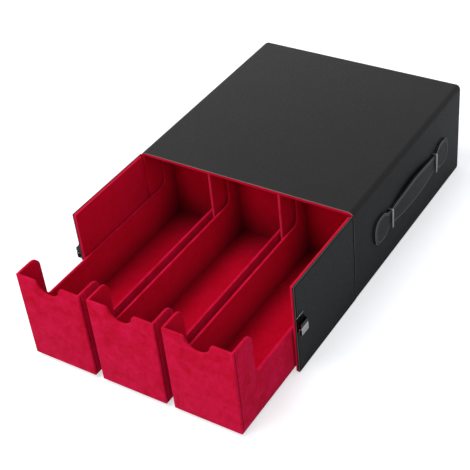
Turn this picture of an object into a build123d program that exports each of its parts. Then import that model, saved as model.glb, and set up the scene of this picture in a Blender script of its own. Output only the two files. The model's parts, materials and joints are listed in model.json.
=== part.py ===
from build123d import *
import os

# A three-drawer box for sleeved trading cards, in millimetres.
# Origin at the centre of the case's underside, +X to the right, +Y to the back, +Z up.
# The box is drawn with its doors open straight ahead and its drawers pulled out.

# case
case_width = 255.0
case_depth = 264.0
case_height = 112.0
cover_thickness = 0.8
board_thickness = 2.4
lining_thickness = 0.8
upper_edge_radius = 6.0
lower_edge_radius = 3.0

# dividers between the bays
divider_x = 42.0
divider_board_thickness = 1.6
suede_thickness = 0.5
divider_setback = 1.0

# drawers, sized for sleeved cards standing upright
drawer_width = 75.5
drawer_length = 258.5
drawer_height = 102.0
drawer_board_thickness = 1.5
drawer_lift = 4.3
drawer_spacing = 84.0
drawer_pulled_out = 213.0
front_post_length = 31.0
rear_post_length = 20.5
low_wall_height = 51.7
post_top_radius = 10.0
front_scoop_radius = 6.0
rear_scoop_radius = 8.0
notch_radius = 14.0
notch_lip_radius = 3.5

# doors, hinged on a leather strip at the case's front corners
door_length = 118.0
door_bottom_gap = 1.5
door_top_gap = 2.2
hinge_strip_width = 4.3
hinge_lining_thickness = 0.4

# clasps, one at the free edge of each door, outside
clasp_length = 12.5
clasp_edge_inset = 0.3
clasp_bottom = 50.5
clasp_top = 71.6
clasp_plate_thickness = 0.8
clasp_reach = 5.7
trough_radius = 3.9
hook_block_height = 4.4
hook_lip_width = 0.4
pin_out = 3.3
pin_height = 58.7
pin_radius = 0.8
pin_clearance = 0.05
barrel_radius = 2.3
barrel_clearance = 0.2
lug_radius = 1.2
lug_width = 1.2
lever_thickness = 1.0
lever_bottom = 52.2
lever_lip_thickness = 0.8
rivet_height = 55.0
rivet_spacing = 6.0
rivet_shank_radius = 0.7
rivet_head_radius = 1.2
rivet_head_height = 0.5

# handle on the right side, centred on it
handle_height = 54.0
loop_spacing = 110.0
loop_height = 24.0
loop_reach = 5.5
loop_bar_width = 2.6
loop_bar_thickness = 1.6
backing_plate_size = (9.0, 30.0)
backing_plate_thickness = 0.7
strap_length = 182.0
strap_thickness = 2.6
strap_gap = 0.3
strap_bow = 2.7
strap_grip_width = 28.0
strap_neck_width = 20.0
strap_neck_length = 12.0
strap_tab_width = 32.0
strap_flare_length = 9.0
strap_tab_radius = 12.0
strap_flare_end_radius = 12.0
strap_flare_start_radius = 8.0
strap_neck_radius = 25.0
strap_grip_radius = 220.0
strap_bow_foot = 57.0
strap_bow_top = 18.0
strap_bend_radius = 350.0

# worked out from the above
wall = cover_thickness + board_thickness + lining_thickness
front_y = -case_depth / 2
back_y = case_depth / 2
side_x = case_width / 2
drawer_wall = drawer_board_thickness + 2 * suede_thickness
drawer_front_y = front_y - drawer_pulled_out
door_height = case_height - door_bottom_gap - door_top_gap
door_thickness = wall
door_end_y = front_y - door_length
overrun = 20.0

nodes = {}


def slab(low_corner, high_corner):
    """A box between two opposite corners."""
    size = [high - low for low, high in zip(low_corner, high_corner)]
    middle = [(high + low) / 2 for low, high in zip(low_corner, high_corner)]
    return Pos(*middle) * Box(*size)


def fillet_corner(sketch, u, v, radius):
    """Round the one corner of a flat sketch that lies at (u, v)."""
    corner = sketch.vertices().sort_by_distance((u, v, 0))[0]
    return fillet(corner, radius)


def polygon(points, radii=()):
    """A flat shape through points, with radii as (point number, radius) pairs."""
    sketch = make_face(Polyline(*points, close=True))
    for number, radius in radii:
        if radius > 0:
            sketch = fillet_corner(sketch, *points[number], radius)
    return sketch


# case: one rounded block, drawn in by a different inset for each layer


def case_block(inset, block_front_y):
    """The case's outer form, drawn in by inset, from block_front_y to the back."""
    half_width = side_x - inset
    rear = back_y - inset
    block = slab((-half_width, block_front_y, inset), (half_width, rear, case_height - inset))
    lengthwise = block.edges().filter_by(Axis.Y)
    upright = block.edges().filter_by(Axis.Z).group_by(Axis.Y)[-1]
    across_top = block.edges().filter_by(Axis.X).group_by(Axis.Y)[-1].group_by(Axis.Z)[-1]
    upper_edges = lengthwise.group_by(Axis.Z)[-1] + upright + across_top
    block = fillet(upper_edges, upper_edge_radius - inset)
    if lower_edge_radius > inset:
        underside = block.faces().sort_by(Axis.Z)[0]
        front_edge = underside.edges().sort_by(Axis.Y)[0]
        lower_edges = [edge for edge in underside.edges() if edge != front_edge]
        block = fillet(lower_edges, lower_edge_radius - inset)
    return block


def keep_side(solid, normal, point):
    """The part of a solid on the side of a plane that its normal points to."""
    return solid.split(Plane(origin=point, z_dir=normal), keep=Keep.TOP)


def case_boards():
    """Five boards with mitred edges, cut from one hollow rounded carcass."""
    hollow = case_block(cover_thickness + board_thickness, front_y - overrun)
    carcass = case_block(cover_thickness, front_y + lining_thickness) - hollow
    faces = {
        "top_board": ((0, 0, 1), (0, 0, case_height)),
        "base_board": ((0, 0, -1), (0, 0, 0)),
        "left_side_board": ((-1, 0, 0), (-side_x, 0, 0)),
        "right_side_board": ((1, 0, 0), (side_x, 0, 0)),
        "back_board": ((0, 1, 0), (0, back_y, 0)),
    }
    boards = {}
    for name, (outward, point) in faces.items():
        board = carcass
        for other, (other_outward, other_point) in faces.items():
            if other == name:
                continue
            opposite = all(a == -b for a, b in zip(outward, other_outward))
            share = 0.5 if opposite else 1.0
            between = [(a + b) * share for a, b in zip(point, other_point)]
            mitre = [a - b for a, b in zip(outward, other_outward)]
            board = keep_side(board, mitre, between)
        boards[name] = board
    return boards, carcass


def make_case():
    boards, carcass = case_boards()
    outside = case_block(0, front_y)
    inside_cover = case_block(cover_thickness, front_y - overrun)
    cover_shell = outside - inside_cover
    base_sheet = slab(
        (-side_x + lower_edge_radius, front_y, 0),
        (side_x - lower_edge_radius, back_y - upper_edge_radius, cover_thickness),
    )
    inside_lining = case_block(wall, front_y - overrun)
    lining = case_block(cover_thickness, front_y) - inside_lining - carcass
    nodes.update(boards)
    nodes["outer_cover"] = cover_shell - base_sheet
    nodes["base_cover"] = base_sheet
    nodes["case_lining"] = lining


def make_divider(name, x):
    """An upright board, with suede round its front edge and down both faces."""
    half_board = divider_board_thickness / 2
    half_divider = half_board + suede_thickness
    divider_front = front_y + divider_setback
    inside = case_block(wall, front_y - overrun)
    board = inside & slab(
        (x - half_board, divider_front + suede_thickness, 0),
        (x + half_board, back_y, case_height),
    )
    whole = inside & slab((x - half_divider, divider_front, 0), (x + half_divider, back_y, case_height))
    nodes[name + "_divider_board"] = board
    nodes[name + "_divider_sleeve"] = whole - board


# drawers: drawn with the front face at y = 0 and the underside at z = 0, then moved


def drawer_side_outline(inset):
    """A drawer's side: a post at each end and a low wall between them."""
    low = inset
    high = drawer_height - inset
    near = inset
    far = drawer_length - inset
    step = low_wall_height - inset
    front_post = front_post_length - inset
    rear_post = drawer_length - rear_post_length + inset
    points = [
        (near, low), (far, low), (far, high), (rear_post, high),
        (rear_post, step), (front_post, step), (front_post, high), (near, high),
    ]
    radii = [
        (3, post_top_radius - inset), (4, rear_scoop_radius + inset),
        (5, front_scoop_radius + inset), (6, post_top_radius - inset),
    ]
    return polygon(points, radii)


def drawer_front_outline(inset):
    """A drawer's front, with a round finger notch in its top edge."""
    half_width = drawer_width / 2 - inset
    low = inset
    high = drawer_height - inset
    panel = polygon([(-half_width, low), (half_width, low), (half_width, high), (-half_width, high)])
    notch = Pos(0, drawer_height) * Circle(notch_radius + inset)
    panel = panel - notch
    lips = panel.vertices().group_by(Axis.Y)[-1].sort_by(Axis.X)[1:-1]
    return fillet(lips, notch_lip_radius - inset)


def drawer_panel(outline, start_y, thickness):
    """A front or back panel of a drawer, from its outline seen from the front."""
    return Pos(0, start_y, 0) * extrude(Plane.XZ * outline, -thickness)


def drawer_side(outline, start_x, thickness):
    """A side panel of a drawer, from its outline seen from the side."""
    return Pos(start_x, 0, 0) * extrude(Plane.YZ * outline, thickness)


def drawer_boards():
    half_width = drawer_width / 2
    skin = suede_thickness
    board = drawer_board_thickness
    deep = skin + board
    back_outline = polygon([
        (-half_width + skin, skin), (half_width - skin, skin),
        (half_width - skin, drawer_height - skin), (-half_width + skin, drawer_height - skin),
    ])
    between = slab(
        (-half_width, deep, 0),
        (half_width, drawer_length - deep, drawer_height),
    )
    side_outline = drawer_side_outline(skin)
    return {
        "front_board": drawer_panel(drawer_front_outline(skin), skin, board),
        "back_board": drawer_panel(back_outline, drawer_length - deep, board),
        "left_board": drawer_side(side_outline, -half_width + skin, board) & between,
        "right_board": drawer_side(side_outline, half_width - deep, board) & between,
        "floor_board": slab(
            (-half_width + deep, deep, skin),
            (half_width - deep, drawer_length - deep, deep),
        ),
    }


def drawer_suedes(boards):
    """The suede round the outside and over the edges, and the suede tray inside."""
    half_width = drawer_width / 2
    thick = drawer_wall
    back_outline = polygon([
        (-half_width, 0), (half_width, 0), (half_width, drawer_height), (-half_width, drawer_height),
    ])
    body = slab((-half_width, 0, 0), (half_width, drawer_length, thick))
    body += drawer_panel(drawer_front_outline(0), 0, thick)
    body += drawer_panel(back_outline, drawer_length - thick, thick)
    body += drawer_side(drawer_side_outline(0), -half_width, thick)
    body += drawer_side(drawer_side_outline(0), half_width - thick, thick)
    deep = suede_thickness + drawer_board_thickness
    hollow = slab(
        (-half_width + deep, deep, deep),
        (half_width - deep, drawer_length - deep, drawer_height + overrun),
    )
    outer = body - hollow
    for board in boards.values():
        outer -= board
    return {"outer_suede": outer, "inner_suede": body & hollow}


def make_drawers():
    boards = drawer_boards()
    pieces = {**boards, **drawer_suedes(boards)}
    for name, x in (("left", -drawer_spacing), ("middle", 0.0), ("right", drawer_spacing)):
        place = Pos(x, drawer_front_y, drawer_lift)
        for piece, solid in pieces.items():
            nodes[f"{name}_drawer_{piece}"] = place * solid


# doors and clasps: drawn on the right side, then mirrored for the left


def door_pieces():
    low = door_bottom_gap
    high = door_bottom_gap + door_height
    board_start = front_y - hinge_strip_width
    edge = lining_thickness
    outer_face = side_x
    under_cover = side_x - cover_thickness
    inner_face = side_x - door_thickness
    board = slab(
        (inner_face + lining_thickness, door_end_y + edge, low + edge),
        (under_cover, board_start, high - edge),
    )
    cover = slab((under_cover, door_end_y, low), (outer_face, board_start, high))
    lining = slab((inner_face, door_end_y, low), (under_cover, board_start, high)) - board
    strip = slab(
        (under_cover - hinge_lining_thickness, board_start, low),
        (outer_face, front_y, high),
    )
    return {"board": board, "cover": cover, "lining": lining, "hinge_strip": strip}


def clasp_extrusion(outline, start, length):
    """A clasp section, drawn as (out from the door, height), run along the door."""
    near_end = door_end_y + clasp_edge_inset
    return Pos(side_x, near_end + start, 0) * extrude(Plane.XZ * outline, -length)


def clasp_catch():
    """A cast plate with a hook trough on top, a block over the pin and two lugs."""
    plate = clasp_plate_thickness
    trough_out = plate + trough_radius
    block_bottom = pin_height + barrel_radius
    lip_height = block_bottom + hook_block_height
    trough_top = lip_height + trough_radius
    block = polygon([
        (0, clasp_bottom), (plate, clasp_bottom), (plate, block_bottom), (clasp_reach, block_bottom),
        (trough_out + hook_lip_width, lip_height), (trough_out, lip_height), (plate, trough_top),
        (plate, clasp_top), (0, clasp_top),
    ])
    block -= Pos(trough_out, trough_top) * Circle(trough_radius)
    block -= Pos(pin_out, pin_height) * Circle(barrel_radius + barrel_clearance)
    back_plate = polygon([(0, clasp_bottom), (plate, clasp_bottom), (plate, clasp_top), (0, clasp_top)])
    catch = clasp_extrusion(block + back_plate, 0, clasp_length)
    web = polygon([
        (0, pin_height - lug_radius), (pin_out, pin_height - lug_radius),
        (pin_out, pin_height + lug_radius), (0, pin_height + lug_radius),
    ])
    lug = web + Pos(pin_out, pin_height) * Circle(lug_radius)
    lug -= Pos(pin_out, pin_height) * Circle(pin_radius)
    for start in (0, clasp_length - lug_width):
        catch += clasp_extrusion(lug, start, lug_width)
    return catch


def clasp_lever():
    """A flip lever: a barrel on the pin, a front face and a lip turned in below."""
    face_out = pin_out + barrel_radius
    face_in = face_out - lever_thickness
    lip_in = clasp_plate_thickness + rivet_head_height
    lip_top = lever_bottom + lever_lip_thickness
    face = polygon([
        (lip_in, lever_bottom), (face_out, lever_bottom), (face_out, pin_height), (face_in, pin_height),
        (face_in, lip_top), (lip_in, lip_top),
    ])
    ahead = polygon([
        (face_in, pin_height), (face_out, pin_height),
        (face_out, pin_height + barrel_radius), (face_in, pin_height + barrel_radius),
    ])
    disc = Pos(pin_out, pin_height) * Circle(barrel_radius)
    bore = Pos(pin_out, pin_height) * Circle(pin_radius + pin_clearance)
    lever = clasp_extrusion(face + (disc & ahead), 0, clasp_length)
    side_gap = lug_width + barrel_clearance
    barrel = clasp_extrusion(disc - bore, side_gap, clasp_length - 2 * side_gap)
    return lever + barrel


def clasp_rivets():
    """Two rivets, from a head on the catch's plate to the back of the door's board."""
    middle_y = door_end_y + clasp_edge_inset + clasp_length / 2
    head_face = side_x + clasp_plate_thickness
    shank_length = clasp_plate_thickness + cover_thickness + board_thickness
    rivets = []
    for y in (middle_y - rivet_spacing / 2, middle_y + rivet_spacing / 2):
        start = Plane(origin=(head_face, y, rivet_height), z_dir=(1, 0, 0))
        head = extrude(start * Circle(rivet_head_radius), rivet_head_height)
        shank = extrude(start * Circle(rivet_shank_radius), -shank_length)
        rivets.append(head + shank)
    return rivets


def make_doors_and_clasps():
    pieces = {f"door_{name}": solid for name, solid in door_pieces().items()}
    rivets = clasp_rivets()
    catch = clasp_catch()
    for rivet in rivets:
        catch -= rivet
        pieces["door_cover"] -= rivet
        pieces["door_board"] -= rivet
    pieces["clasp_catch"] = catch
    pieces["clasp_lever"] = clasp_lever()
    pin_outline = Pos(pin_out, pin_height) * Circle(pin_radius)
    pieces["clasp_pin"] = clasp_extrusion(pin_outline, 0, clasp_length)
    pieces["clasp_rivets"] = Compound(children=[rivet.solid() for rivet in rivets])
    for name, solid in pieces.items():
        nodes["right_" + name] = solid
        nodes["left_" + name] = mirror(solid, Plane.YZ)


# handle


def handle_loop(y):
    """A staple that the strap runs through, with legs down to its backing plate."""
    half_width = loop_bar_width / 2
    low = handle_height - loop_height / 2
    high = handle_height + loop_height / 2
    leg_end = side_x - cover_thickness - board_thickness
    outer = slab((leg_end, y - half_width, low), (side_x + loop_reach, y + half_width, high))
    hollow = slab(
        (leg_end - overrun, y - loop_bar_width, low + loop_bar_thickness),
        (side_x + loop_reach - loop_bar_thickness, y + loop_bar_width, high - loop_bar_thickness),
    )
    return outer - hollow


def backing_plate(y):
    half_length = backing_plate_size[0] / 2
    half_height = backing_plate_size[1] / 2
    inner = side_x - cover_thickness - board_thickness
    return slab(
        (inner, y - half_length, handle_height - half_height),
        (inner + backing_plate_thickness, y + half_length, handle_height + half_height),
    )


def strap_outline():
    """The strap seen from the right: a wide grip, two necks and two rounded tabs."""
    half_length = strap_length / 2
    neck_start = loop_spacing / 2 - strap_neck_length / 2
    neck_end = loop_spacing / 2 + strap_neck_length / 2
    grip = strap_grip_width / 2
    neck = strap_neck_width / 2
    tab = strap_tab_width / 2
    right_half = [
        (0, grip), (neck_start, neck), (neck_end, neck), (neck_end + strap_flare_length, tab),
        (half_length, tab),
    ]
    upper = [(-u, v) for u, v in reversed(right_half)] + right_half[1:]
    lower = [(u, -v) for u, v in reversed(upper)]
    points = upper + lower
    count = len(upper)
    radii = []
    from_each_end = (
        strap_tab_radius, strap_flare_end_radius, strap_flare_start_radius, strap_neck_radius,
    )
    for step, radius in enumerate(from_each_end):
        for number in (step, count - 1 - step, count + step, 2 * count - 1 - step):
            radii.append((number, radius))
    middle = len(from_each_end)
    for number in (middle, count + middle):
        radii.append((number, strap_grip_radius))
    return Pos(0, handle_height) * polygon(points, radii)


def strap_line(out):
    """One face of the strap seen from above: flat tabs and a grip bowed out."""
    half_length = strap_length / 2 + overrun
    points = [
        (out, -half_length), (out, -strap_bow_foot), (out + strap_bow, -strap_bow_top),
        (out + strap_bow, strap_bow_top), (out, strap_bow_foot), (out, half_length),
    ]
    return FilletPolyline(*points, radius=strap_bend_radius)


def handle_strap():
    inner = strap_line(side_x + strap_gap)
    outer = strap_line(side_x + strap_gap + strap_thickness)
    near_end = Line(inner @ 0, outer @ 0)
    far_end = Line(inner @ 1, outer @ 1)
    band = extrude(make_face([inner, far_end, outer, near_end]), case_height)
    cut = extrude(Plane.YZ * strap_outline(), case_width)
    return band & cut


def make_handle():
    cover = nodes["outer_cover"]
    board = nodes["right_side_board"]
    for name, y in (("front", -loop_spacing / 2), ("rear", loop_spacing / 2)):
        loop = handle_loop(y)
        plate = backing_plate(y)
        cover -= loop
        board = board - loop - plate
        nodes[name + "_handle_loop"] = loop
        nodes[name + "_backing_plate"] = plate - loop
    nodes["outer_cover"] = cover
    nodes["right_side_board"] = board
    nodes["handle_strap"] = handle_strap()


make_case()
make_divider("left", -divider_x)
make_divider("right", divider_x)
make_drawers()
make_doors_and_clasps()
make_handle()

os.makedirs("parts", exist_ok=True)
for node_name, node_solid in nodes.items():
    export_step(node_solid, f"parts/{node_name}.step")
print(len(nodes), "nodes written")
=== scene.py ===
import bpy
import bmesh
import json
import math
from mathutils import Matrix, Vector


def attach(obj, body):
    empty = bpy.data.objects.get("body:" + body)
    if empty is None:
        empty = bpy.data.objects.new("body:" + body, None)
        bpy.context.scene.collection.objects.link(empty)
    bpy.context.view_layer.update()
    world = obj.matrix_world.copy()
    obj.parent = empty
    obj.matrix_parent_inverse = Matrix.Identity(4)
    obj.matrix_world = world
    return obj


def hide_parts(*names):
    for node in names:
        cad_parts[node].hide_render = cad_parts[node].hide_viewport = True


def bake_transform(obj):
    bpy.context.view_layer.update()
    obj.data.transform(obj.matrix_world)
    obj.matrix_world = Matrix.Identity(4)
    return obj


# A trading card drawer box: black leatherette case, red suede drawers, two wing doors.
# All sizes in the pieces' dictionaries are millimetres; mm turns them into Blender's metres.

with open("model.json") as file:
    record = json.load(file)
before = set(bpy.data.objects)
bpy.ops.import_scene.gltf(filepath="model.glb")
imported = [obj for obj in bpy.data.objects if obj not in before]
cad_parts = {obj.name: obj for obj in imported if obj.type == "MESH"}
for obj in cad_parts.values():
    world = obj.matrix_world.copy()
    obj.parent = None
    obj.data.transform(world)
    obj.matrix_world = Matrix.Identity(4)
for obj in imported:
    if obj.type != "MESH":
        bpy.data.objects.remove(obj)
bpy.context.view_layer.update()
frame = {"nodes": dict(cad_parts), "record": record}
mm = 0.001
# the rolled edges are painted paler, partly as wear and partly as painted highlight
wearAndHighlightSlot = 1  # second material slot while a piece is shaped: it marks the rolled edges
spare = 1  # how far a cutter reaches past what it cuts
nearly = 0.05  # how closely a face's middle has to lie to a surface to count as part of it

# node helpers


def addNode(tree, kind, **values):
    made = tree.nodes.new("ShaderNode" + kind)
    for name, value in values.items():
        setattr(made, name, value)
    return made


def fill(tree, socket, value):
    # links another node's socket, or sets a number or a colour
    if isinstance(value, bpy.types.NodeSocket):
        tree.links.new(value, socket)
    else:
        socket.default_value = (*value, 1) if isinstance(value, tuple) else value


def rangeOf(tree, value, low, high, newLow, newHigh):
    spread = addNode(tree, "MapRange")
    for number, amount in enumerate((value, low, high, newLow, newHigh)):
        fill(tree, spread.inputs[number], amount)
    return spread.outputs[0]


def combine(tree, operation, first, second):
    joined = addNode(tree, "Math", operation=operation)
    fill(tree, joined.inputs[0], first)
    fill(tree, joined.inputs[1], second)
    return joined.outputs[0]


def weighted(tree, *parts):
    # the sum of each value times its share
    total = None
    for value, share in parts:
        part = combine(tree, "MULTIPLY", value, share)
        total = part if total is None else combine(tree, "ADD", total, part)
    return total


def blendColour(tree, factor, first, second):
    mix = addNode(tree, "Mix", data_type="RGBA")
    for number, value in ((0, factor), (6, first), (7, second)):
        fill(tree, mix.inputs[number], value)
    return mix.outputs[2]


# camera, floor and light

cameraSettings = {
    "place": (0.54066, -0.89756, 0.77818), "turn": (0.894587, 0.077705, 0.541641), "lens": 86.5,
    "sensor": 36, "shift": (-0.04894, 0.01702), "clip": (0.05, 50),
}

studio = {
    "floorSize": 12.0, "floorColour": (0.56, 0.57, 0.60), "floorRoughness": 0.9, "floorGloss": 0.1,
    "floorLift": 0.54, "roomColour": (0.97, 0.98, 1.0), "roomFront": (-0.25, -0.90, 0.35),
    "roomLight": (0.38, 1.20), "shineFrom": (-1, 0, 0), "shineSpread": (0.2, 0.65),
    "shine": (0.75, 1.5), "sunStrength": 1.35, "sunSpread": 28, "sunTurn": (29, 0, -32),
}


def addObject(name, data):
    made = bpy.data.objects.new(name, data)
    bpy.context.scene.collection.objects.link(made)
    return made


def placeCamera(settings):
    data = bpy.data.cameras.new("camera")
    data.lens = settings["lens"]
    data.sensor_width = settings["sensor"]
    data.shift_x, data.shift_y = settings["shift"]
    data.clip_start, data.clip_end = settings["clip"]
    camera = addObject("camera", data)
    camera.location = settings["place"]
    camera.rotation_euler = settings["turn"]
    bpy.context.scene.camera = camera


def makeFloor(settings):
    bpy.ops.mesh.primitive_plane_add(size=settings["floorSize"])
    floor = bpy.context.object
    floor.name = "floor"
    material = bpy.data.materials.new("paleFloor")
    material.use_nodes = True
    tree = material.node_tree
    shader = tree.nodes["Principled BSDF"]
    shader.inputs["Base Color"].default_value = (*settings["floorColour"], 1)
    shader.inputs["Roughness"].default_value = settings["floorRoughness"]
    shader.inputs["Specular IOR Level"].default_value = settings["floorGloss"]
    shader.inputs["Emission Color"].default_value = (1, 1, 1, 1)
    # lifted only for the camera, so that the floor runs into the white backdrop
    rays = addNode(tree, "LightPath")
    lift = combine(tree, "MULTIPLY", rays.outputs["Is Camera Ray"], settings["floorLift"])
    tree.links.new(lift, shader.inputs["Emission Strength"])
    floor.data.materials.append(material)


def makeRoom(settings):
    world = bpy.data.worlds.new("room")
    bpy.context.scene.world = world
    world.use_nodes = True
    tree = world.node_tree
    tree.nodes.clear()
    link = tree.links.new
    rays = addNode(tree, "LightPath")
    way = addNode(tree, "TexCoord")

    def towards(direction):
        facing = addNode(tree, "VectorMath", operation="DOT_PRODUCT")
        facing.inputs[1].default_value = direction
        link(way.outputs["Generated"], facing.inputs[0])
        return facing.outputs["Value"]

    # the room is brighter in front of the box than behind it
    light = addNode(tree, "Background")
    light.inputs["Color"].default_value = (*settings["roomColour"], 1)
    brightness = rangeOf(tree, towards(settings["roomFront"]), -1, 1, *settings["roomLight"])
    link(brightness, light.inputs["Strength"])
    # the backdrop is white to the camera, and what the leather reflects is brighter on its left
    backdrop = addNode(tree, "Background")
    backdrop.inputs["Color"].default_value = (1, 1, 1, 1)
    strength = addNode(tree, "Mix", data_type="FLOAT")
    shine = rangeOf(tree, towards(settings["shineFrom"]), *settings["shineSpread"], *settings["shine"])
    for number, value in ((0, rays.outputs["Is Glossy Ray"]), (2, 1), (3, shine)):
        fill(tree, strength.inputs[number], value)
    link(strength.outputs[0], backdrop.inputs["Strength"])
    seen = combine(tree, "MAXIMUM", rays.outputs["Is Camera Ray"], rays.outputs["Is Glossy Ray"])
    seen = combine(tree, "MAXIMUM", seen, rays.outputs["Is Transmission Ray"])
    mix = addNode(tree, "MixShader")
    output = addNode(tree, "OutputWorld")
    for number, value in enumerate((seen, light.outputs[0], backdrop.outputs[0])):
        link(value, mix.inputs[number])
    link(mix.outputs[0], output.inputs["Surface"])

    sunData = bpy.data.lights.new("sun", "SUN")
    sunData.energy = settings["sunStrength"]
    sunData.angle = math.radians(settings["sunSpread"])
    addObject("sun", sunData).rotation_euler = [math.radians(angle) for angle in settings["sunTurn"]]
    bpy.context.scene.view_settings.view_transform = "Standard"


placeCamera(cameraSettings)
makeFloor(studio)
makeRoom(studio)
print("camera, floor and light are in place")

# materials: every pattern reads Object coordinates, which are metres in the box's own frame


def startMaterial(name, look):
    material = bpy.data.materials.new(name)
    material.use_nodes = True
    shader = material.node_tree.nodes["Principled BSDF"]
    for socket, value in look["shader"].items():
        shader.inputs[socket].default_value = value
    material.diffuse_color = (*look["colour"], 1)
    return material, material.node_tree


def finishMaterial(material, colour, height, depth, roughness=None):
    tree = material.node_tree
    shader = tree.nodes["Principled BSDF"]
    tree.links.new(colour, shader.inputs["Base Color"])
    if roughness is not None:
        tree.links.new(roughness, shader.inputs["Roughness"])
    bump = addNode(tree, "Bump")
    bump.inputs["Strength"].default_value = 1
    bump.inputs["Distance"].default_value = depth * mm
    tree.links.new(height, bump.inputs["Height"])
    tree.links.new(bump.outputs["Normal"], shader.inputs["Normal"])
    return material


def pattern(tree, scale, stretch=(1, 1, 1), kind="TexNoise", **sockets):
    place = addNode(tree, "TexCoord")
    mapping = addNode(tree, "Mapping")
    mapping.inputs["Scale"].default_value = stretch
    texture = addNode(tree, kind)
    texture.inputs["Scale"].default_value = scale
    for socket, value in sockets.items():
        texture.inputs[socket].default_value = value
    tree.links.new(place.outputs["Object"], mapping.inputs["Vector"])
    tree.links.new(mapping.outputs["Vector"], texture.inputs["Vector"])
    return texture.outputs["Distance" if kind == "TexVoronoi" else "Fac"]


def wearAndHighlightEdges(tree, colour, look, share=None):
    # paler along the rolled edges, all over or by a share: partly wear, partly a painted highlight
    wearAndHighlight = addNode(tree, "Attribute", attribute_name="edgeWear").outputs["Fac"]
    if share is not None:
        wearAndHighlight = combine(tree, "MULTIPLY", wearAndHighlight, share)
    return blendColour(tree, wearAndHighlight, colour, look["edgeColour"])


leatheretteLook = {
    "colour": (0.0030, 0.0030, 0.0029), "paleColour": (0.0105, 0.0105, 0.0102),
    "edgeColour": (0.20, 0.20, 0.185), "shader": {"Specular IOR Level": 0.23},
    "grainPerMetre": 1050, "grainDepth": 0.14, "grainShare": 0.6, "poresPerGrain": 2.2,
    "poreDepth": 0.35, "cloudsPerMetre": 28, "cloudShare": 0.5, "roughness": (0.46, 0.62),
}


def makeLeatherette(name, look):
    material, tree = startMaterial(name, look)
    grain = pattern(tree, look["grainPerMetre"], kind="TexVoronoi", Randomness=0.9)
    pores = pattern(tree, look["grainPerMetre"] * look["poresPerGrain"], Detail=2)
    cloud = pattern(tree, look["cloudsPerMetre"], Detail=4, Roughness=0.6)
    grainTone = rangeOf(tree, grain, 0.1, 0.75, 1, 0)
    tone = weighted(tree, (grainTone, look["grainShare"]), (cloud, look["cloudShare"]))
    colour = blendColour(tree, tone, look["colour"], look["paleColour"])
    colour = wearAndHighlightEdges(tree, colour, look, rangeOf(tree, cloud, 0.3, 0.7, 0.55, 1))
    height = combine(tree, "SUBTRACT", combine(tree, "MULTIPLY", pores, look["poreDepth"]), grain)
    roughness = rangeOf(tree, grain, 0, 0.8, *look["roughness"])
    return finishMaterial(material, colour, height, look["grainDepth"], roughness)


strapLook = {
    **leatheretteLook, "colour": (0.0055, 0.0055, 0.0053), "paleColour": (0.013, 0.013, 0.0125),
    "edgeColour": (0.30, 0.30, 0.29), "grainPerMetre": 850, "roughness": (0.42, 0.58),
}
# the bottoms of creases and folds, where hardly any light gets in
creaseLook = {
    **leatheretteLook, "colour": (0.0006, 0.0006, 0.0006), "paleColour": (0.0012, 0.0012, 0.0012),
    "shader": {"Specular IOR Level": 0.05},
}

suedeLook = {
    "colour": (0.38, 0.0002, 0.003), "paleColour": (0.60, 0.0070, 0.056),
    "edgeColour": (0.93, 0.095, 0.195),
    "shader": {
        "Roughness": 1.0,
        "Specular IOR Level": 0.03,
        "Sheen Weight": 0.22,
        "Sheen Roughness": 0.5,
        "Sheen Tint": (1.0, 0.08, 0.30, 1),
    },
    "patchesPerMetre": 70, "patchShare": 0.62, "strokesPerPatch": 5, "strokeShare": 0.20,
    "napPerMetre": 850, "napShare": 0.18, "napDepth": 0.16, "contrast": (0.34, 0.68),
}


def makeSuede(name, look):
    material, tree = startMaterial(name, look)
    scale = look["patchesPerMetre"]
    patches = pattern(tree, scale, Detail=6, Roughness=0.68, Distortion=0.5)
    strokes = pattern(tree, scale * look["strokesPerPatch"], (1, 1, 0.45), Detail=3, Roughness=0.6)
    nap = pattern(tree, look["napPerMetre"], Detail=4, Roughness=0.8)
    tone = weighted(
        tree, (patches, look["patchShare"]), (strokes, look["strokeShare"]), (nap, look["napShare"])
    )
    tone = rangeOf(tree, tone, *look["contrast"], 0, 1)
    colour = blendColour(tree, tone, look["colour"], look["paleColour"])
    colour = wearAndHighlightEdges(tree, colour, look, rangeOf(tree, strokes, 0.3, 0.7, 0.4, 0.95))
    if "cornerShadeReach" in look:
        # painted shade: the colour is darkened in the corners of its own piece, found by ambient
        # occlusion
        corner = addNode(tree, "AmbientOcclusion", only_local=True, samples=12)
        corner.inputs["Distance"].default_value = look["cornerShadeReach"]
        deep = rangeOf(tree, corner.outputs["AO"], *look["cornerShadeRange"], 1, 0)
        colour = blendColour(tree, deep, colour, look["cornerShadeColour"])
    return finishMaterial(material, colour, nap, look["napDepth"])


# the suede inside is painted as a shaded copy of the same suede, deeper, less blue and more even: painted
# shade
shadedInnerSuedeLook = {
    **suedeLook, "colour": (0.46, 0.0002, 0.004), "paleColour": (0.61, 0.0030, 0.034),
    "edgeColour": (0.66, 0.030, 0.090), "contrast": (0.25, 0.77), "cornerShadeReach": 0.055,
    "cornerShadeRange": (0.24, 0.82), "cornerShadeColour": (0.06, 0.0001, 0.001),
}
# painted shade: a much darker copy of the suede for the faces inside the drawers' seam grooves
shadedSuedeSeamLook = {
    **suedeLook, "colour": (0.10, 0.0001, 0.002), "paleColour": (0.16, 0.0010, 0.008),
}

# a lit copy of the gunmetal, used on the lever as a painted highlight; the other metals start from it
paleGunmetalLook = {
    "colour": (0.56, 0.555, 0.55), "edgeColour": (0.80, 0.79, 0.77), "shader": {"Metallic": 1.0},
    "smudgesPerMetre": 220, "smudgeShade": 0.72, "streaks": (60, 900, 900), "streakDepth": 0.006,
    "roughness": (0.16, 0.30),
}
gunmetalLook = {
    **paleGunmetalLook, "colour": (0.050, 0.050, 0.052), "edgeColour": (0.90, 0.89, 0.87),
}
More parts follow.
